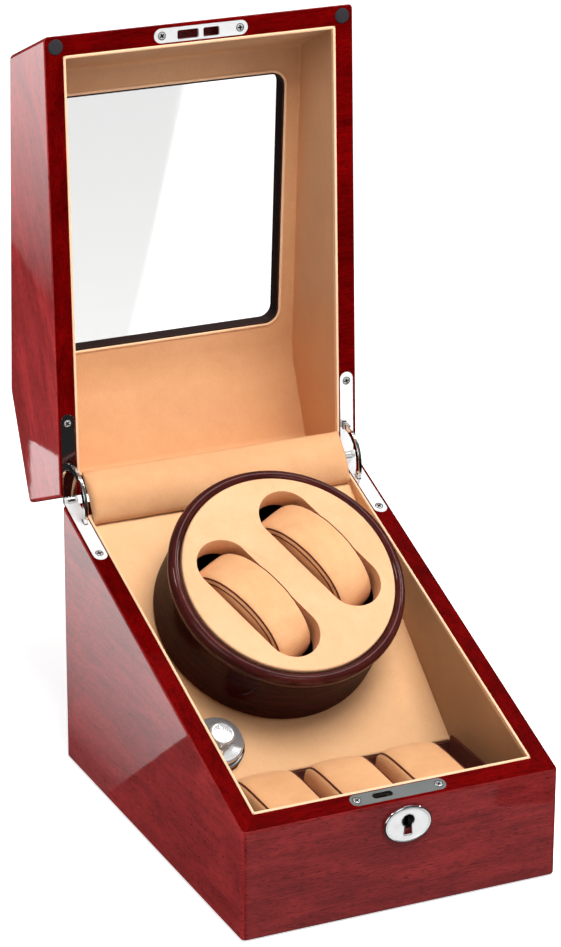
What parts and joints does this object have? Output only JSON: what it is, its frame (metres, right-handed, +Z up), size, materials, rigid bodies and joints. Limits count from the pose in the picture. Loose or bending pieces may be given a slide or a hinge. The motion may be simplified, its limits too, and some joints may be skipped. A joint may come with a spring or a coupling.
{
  "type": "watch winder box",
  "caption": "Desk box with a sloping rim and a windowed hinged lid; a motor-driven turntable and a storage tray hold oval watch cushions, with a lock and a selector knob.",
  "frame": {"origin": "centre of the underside of the base pad", "axes": "+X to the right seen from the front, +Y to the back, +Z up; rest pose has the lid open to its stop"},
  "size_m": [0.18, 0.3188, 0.4112],
  "materials": {
    "lacquered_wood": "high gloss clear lacquer over red mahogany veneer",
    "board_wood": "raw fibreboard",
    "felt": "short felt",
    "leatherette": "fine grain, satin",
    "flock": "dark brown flock",
    "cushion_leatherette": "smooth, satin, with dark piping",
    "drum_gloss": "piano gloss",
    "chrome": "polished",
    "brushed_metal": "brushed",
    "brass": "turned",
    "black_plastic": "moulded",
    "board_green": "solder mask",
    "wire_black": "insulation",
    "belt_rubber": "smooth",
    "window_glass": "clear",
    "dark_edging": "satin",
    "bumper_rubber": "smooth"
  },
  "bodies": {
    "case": {"case_side_left": "lacquered_wood", "case_side_right": "lacquered_wood", "case_front": "lacquered_wood", "case_back": "lacquered_wood", "case_bottom": "board_wood", "base_pad": "felt", "case_lining": "leatherette", "deck_board": "board_wood", "deck_lining": "leatherette", "deck_cleats": "board_wood", "storage_tray": "flock", "spindle_bush": "brass", "motor_bracket": "brushed_metal", "bracket_posts": "brass", "gear_motor": "brushed_metal", "drive_belt": "belt_rubber", "selector_base_ring": "chrome", "selector_switch": "black_plastic", "control_board": "board_green", "board_standoffs": "black_plastic", "pan_screws": "brushed_metal", "power_jack": "black_plastic", "wiring": "wire_black", "escutcheon": "chrome", "lock_case": "brushed_metal", "lock_face_plate": "brushed_metal", "case_screws": "chrome", "hinge_leaves_case": "chrome", "hinge_pins": "chrome", "hinge_cover": "leatherette"},
    "lid": {"lid_side_left": "lacquered_wood", "lid_side_right": "lacquered_wood", "lid_front": "lacquered_wood", "lid_window_frame": "lacquered_wood", "lid_top": "lacquered_wood", "lid_back": "lacquered_wood", "lid_lining": "leatherette", "window_glass": "window_glass", "window_edging": "dark_edging", "lid_bumpers": "bumper_rubber", "strike_plate": "chrome", "lid_screws": "chrome", "hinge_leaves_lid": "chrome"},
    "stay_left": {"stay_left": "chrome"},
    "stay_right": {"stay_right": "chrome"},
    "turntable": {"drum_cup": "drum_gloss", "drum_face": "leatherette", "drum_spindle": "brushed_metal", "spindle_pulley": "black_plastic"},
    "motor_rotor": {"motor_pulley": "black_plastic", "motor_shaft": "brushed_metal"},
    "selector": {"selector_knob": "chrome"},
    "key_barrel": {"key_barrel": "brushed_metal", "lock_hook": "brushed_metal"},
    "turn_cushion_left": {"turn_cushion_left": "cushion_leatherette"},
    "turn_cushion_right": {"turn_cushion_right": "cushion_leatherette"},
    "store_cushion_1": {"store_cushion_1": "cushion_leatherette"},
    "store_cushion_2": {"store_cushion_2": "cushion_leatherette"},
    "store_cushion_3": {"store_cushion_3": "cushion_leatherette"}
  },
  "joints": [
    {"name": "lid_hinge", "type": "hinge", "parent": "case", "child": "lid", "pos_m": [0, 0.12199, 0.15318], "axis": [1, 0, 0], "range_deg": [0, 113], "deforming": ["hinge_cover"]},
    {"name": "stay_left_swing", "type": "hinge", "parent": "case", "child": "stay_left", "pos_m": [0, 0.12199, 0.15318], "axis": [1, 0, 0], "range_deg": [0, 56.5]},
    {"name": "stay_right_swing", "type": "hinge", "parent": "case", "child": "stay_right", "pos_m": [0, 0.12199, 0.15318], "axis": [1, 0, 0], "range_deg": [0, 56.5]},
    {"name": "turntable_spin", "type": "hinge", "parent": "case", "child": "turntable", "pos_m": [0, 0.04937, 0.09698], "axis": [0, -0.6293, 0.7771], "continuous": true},
    {"name": "motor_spin", "type": "hinge", "parent": "case", "child": "motor_rotor", "pos_m": [0, 0.02358, 0.05255], "axis": [0, -0.6293, 0.7771], "continuous": true},
    {"name": "selector_turn", "type": "hinge", "parent": "case", "child": "selector", "pos_m": [-0.0539, -0.00464, 0.05324], "axis": [0, 0.6293, -0.7771], "range_deg": [0, 270]},
    {"name": "key_turn", "type": "hinge", "parent": "case", "child": "key_barrel", "pos_m": [0.0022, -0.1134, 0.0512], "axis": [0, 1, 0], "range_deg": [0, 63]},
    {"name": "turn_cushion_left_lift", "type": "slide", "parent": "turntable", "child": "turn_cushion_left", "axis": [0, 0.6293, -0.7771], "range_m": [-0.05, 0]},
    {"name": "turn_cushion_right_lift", "type": "slide", "parent": "turntable", "child": "turn_cushion_right", "axis": [0, 0.6293, -0.7771], "range_m": [-0.05, 0]},
    {"name": "store_cushion_1_lift", "type": "slide", "parent": "case", "child": "store_cushion_1", "axis": [0, 0, -1], "range_m": [-0.045, 0]},
    {"name": "store_cushion_2_lift", "type": "slide", "parent": "case", "child": "store_cushion_2", "axis": [0, 0, -1], "range_m": [-0.045, 0]},
    {"name": "store_cushion_3_lift", "type": "slide", "parent": "case", "child": "store_cushion_3", "axis": [0, 0, -1], "range_m": [-0.045, 0]}
  ],
  "couplings": [
    {"joint": "stay_left_swing", "follows": "lid_hinge", "ratio": 0.5},
    {"joint": "stay_right_swing", "follows": "lid_hinge", "ratio": 0.5},
    {"joint": "motor_spin", "follows": "turntable_spin", "ratio": 3.606}
  ]
}
